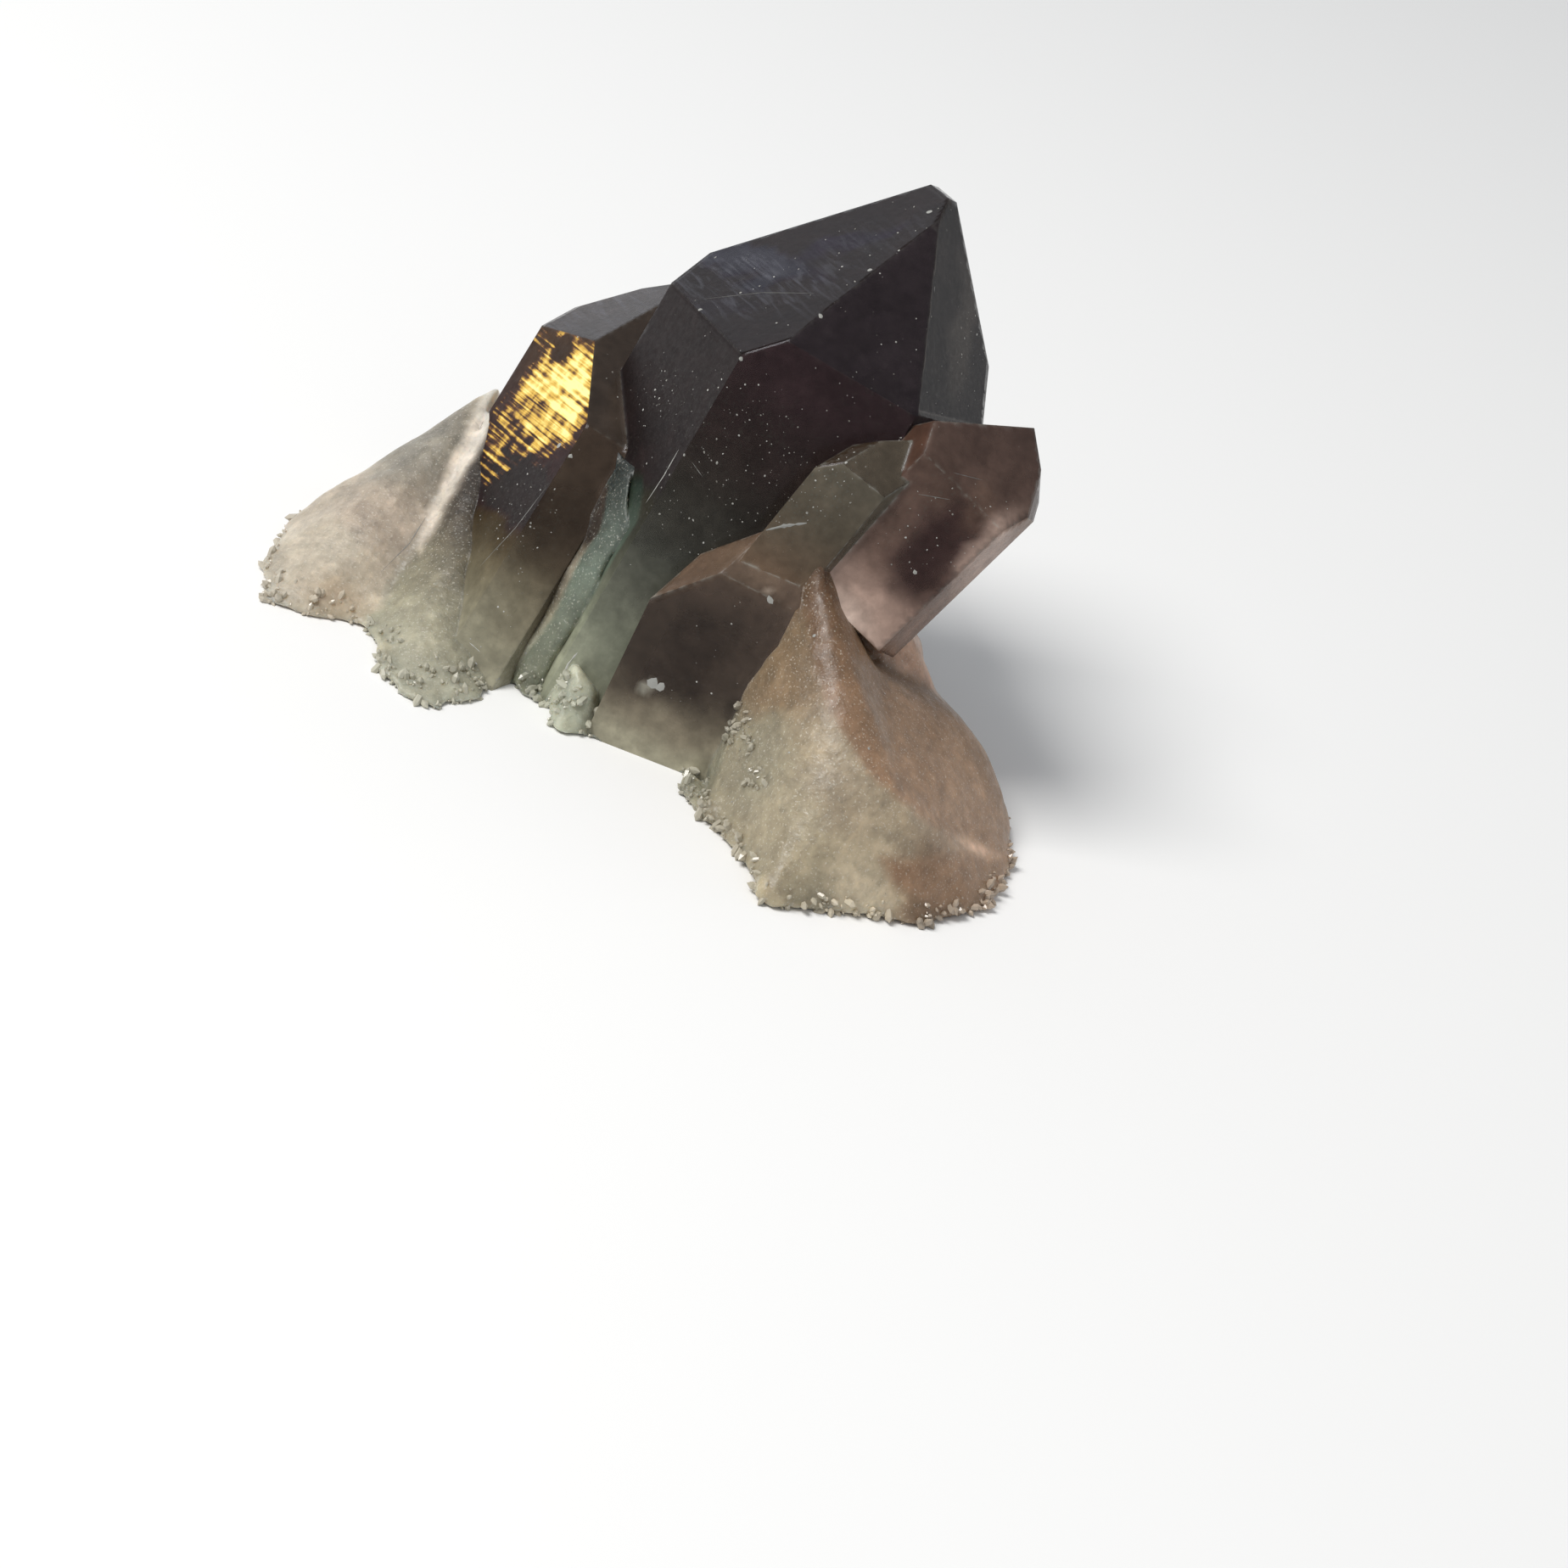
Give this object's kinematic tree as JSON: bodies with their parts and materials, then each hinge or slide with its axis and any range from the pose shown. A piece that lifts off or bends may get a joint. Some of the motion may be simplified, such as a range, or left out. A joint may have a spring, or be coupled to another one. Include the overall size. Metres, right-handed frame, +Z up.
{
  "type": "smoky quartz cluster",
  "caption": "Smoky quartz cluster: one large dark six-sided point with smaller points grown beside it, fading to a milky, broken root cut flat to stand on.",
  "frame": {"origin": "on the flat cut foot, under the middle of the cluster's overall box", "axes": "+Z up from the cut foot, +X along the cluster's longest side towards its broad broken root, -Y towards the side that shows the crystals' faces"},
  "size_m": [0.1148, 0.0888, 0.0733],
  "materials": {
    "smoky_quartz": "glassy smoky crystal faces over a cloudy, frosted beige root"
  },
  "bodies": {
    "root": {"smoky_quartz_cluster": "smoky_quartz"}
  },
  "joints": []
}
